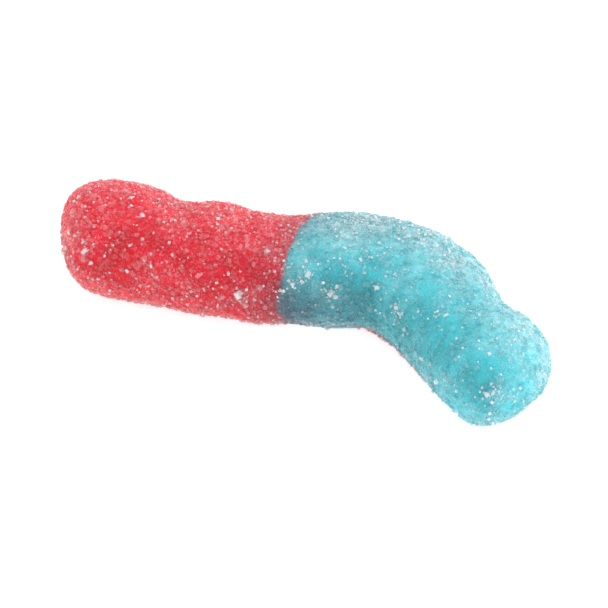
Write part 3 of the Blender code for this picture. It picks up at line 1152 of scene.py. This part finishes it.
class WORM_OT_white_sugar(Operator):
    """Lay small white grains, most of them where the frost with its painted light is thick, and a few large
    ones
    """

    bl_idname = "worm.white_sugar"
    bl_label = "White sugar"

    def execute(self, context):
        worm, sugar = context.scene.worm_sizes, context.scene.worm_sugar
        rng = np.random.default_rng(SMALL_WHITE.seed)
        body = bpy.data.objects["worm_body"]
        points, normals = draw_points(body, rng, SMALL_WHITE.tries)
        kept = rng.random(len(points)) < white_chance(points, worm)
        points, normals = space_out(points[kept], normals[kept], sugar.white_count, sugar.white_spacing)
        sizes, sink = draw_sizes(SMALL_WHITE, len(points), sugar.white_size, rng)
        places = read_vertices(body.data)
        line = make_centreline(worm.length)
        targets = [skin_point(line, along * MM, math.radians(turn), worm) for along, turn, _ in LARGE_GRAINS]
        nearest = [int(((places - target) ** 2).sum(axis=1).argmin()) for target in targets]
        points = np.concatenate([points, places[nearest]])
        normals = np.concatenate([normals, [body.data.vertices[index].normal for index in nearest]])
        sizes = np.append(sizes, [size * MM for *_, size in LARGE_GRAINS])
        sink = np.append(sink, [LARGE_SINK] * len(LARGE_GRAINS))
        grains = lay_grains(
            "sugar_white", FINE_SHAPES, points, normals, sizes, sink, FINE_TILT, white_whiteness, rng, worm,
            tinting=0.0,
        )
        finish_sugar(grains, "white_sugar", WHITE_ALPHA)
        return {"FINISHED"}


class WORM_OT_stage(Operator):
    """Set the pale floor, the soft lights and the camera"""

    bl_idname = "worm.stage"
    bl_label = "Floor, lights and camera"

    def execute(self, context):
        lay_floor(context.scene.worm_colours)
        set_lights()
        set_camera()
        return {"FINISHED"}


def lay_floor(colours):
    """A large plain pale floor that glows softly, as a light table does."""
    deselect_all()
    bpy.ops.mesh.primitive_plane_add(size=FLOOR_SIZE)
    floor = bpy.context.object
    floor.name = "floor"
    made = Nodes("floor")
    made.set_inputs(
        made.shader, Base_Color=colours.floor, Roughness=0.7, Emission_Color=WHITE,
        Emission_Strength=FLOOR_GLOW,
    )
    floor.data.materials.append(made.material)


def add_soft_light(name, place, size, power):
    """A square soft light that looks at the middle of the worm."""
    light = bpy.data.lights.new(name, "AREA")
    light.shape = "SQUARE"
    light.size = size
    light.energy = power
    lamp = add_object(name, light)
    lamp.location = place
    lamp.rotation_euler = aim(-np.array(place))


def aim(direction):
    """The rotation of a lamp or camera that looks along a direction."""
    x, y, z = direction
    flat = math.hypot(x, y)
    return (math.atan2(flat, -z), 0.0, math.atan2(y, x) - math.pi / 2)


def set_lights():
    """A bright white surround, a large soft light above and behind, and a smaller one at the right."""
    world = bpy.data.worlds.new("surround")
    world.use_nodes = True
    background = world.node_tree.nodes["Background"]
    background.inputs["Color"].default_value = WHITE
    background.inputs["Strength"].default_value = SURROUND_STRENGTH
    bpy.context.scene.world = world
    for light in LIGHTS:
        add_soft_light(*light)
    bpy.context.scene.view_settings.view_transform = "Standard"
    bpy.context.scene.cycles.transparent_max_bounces = CLEAR_LAYERS


def set_camera():
    """A long lens that looks down on the worm at the photograph's angle."""
    camera = bpy.data.cameras.new("camera")
    camera.lens = CAMERA_LENS
    camera.clip_start, camera.clip_end = CAMERA_RANGE
    seer = add_object("camera", camera)
    tilt = math.radians(ELEVATION)
    back = np.array([0.0, -math.cos(tilt), math.sin(tilt)])
    seer.location = CAMERA_TARGET + back * CAMERA_DISTANCE
    seer.rotation_euler = aim(-back)
    bpy.context.scene.camera = seer


OPERATORS = (
    WORM_OT_body, WORM_OT_coarse_sugar, WORM_OT_medium_sugar, WORM_OT_fine_sugar, WORM_OT_white_sugar,
    WORM_OT_stage,
)


class WORM_PT_panel(Panel):
    """The steps that make the worm, in order"""

    bl_idname = "WORM_PT_panel"
    bl_label = "Gummy worm"
    bl_space_type = "VIEW_3D"
    bl_region_type = "UI"
    bl_category = "Worm"

    def draw(self, context):
        for step in OPERATORS:
            self.layout.operator(step.bl_idname)
        for group_name, kind in GROUPS.items():
            for name in kind.__annotations__:
                self.layout.prop(getattr(context.scene, group_name), name)


GROUPS = {"worm_sizes": WormSizes, "worm_sugar": WormSugar, "worm_colours": WormColours}
CLASSES = (*GROUPS.values(), *OPERATORS, WORM_PT_panel)


def register():
    for item in CLASSES:
        bpy.utils.register_class(item)
    for name, kind in GROUPS.items():
        setattr(bpy.types.Scene, name, PointerProperty(type=kind))


def unregister():
    for name in GROUPS:
        delattr(bpy.types.Scene, name)
    for item in reversed(CLASSES):
        bpy.utils.unregister_class(item)


def main():
    register()
    bpy.ops.worm.body()
    bpy.ops.worm.coarse_sugar()
    bpy.ops.worm.medium_sugar()
    bpy.ops.worm.fine_sugar()
    bpy.ops.worm.white_sugar()
    bpy.ops.worm.stage()


if __name__ == "__main__":
    main()
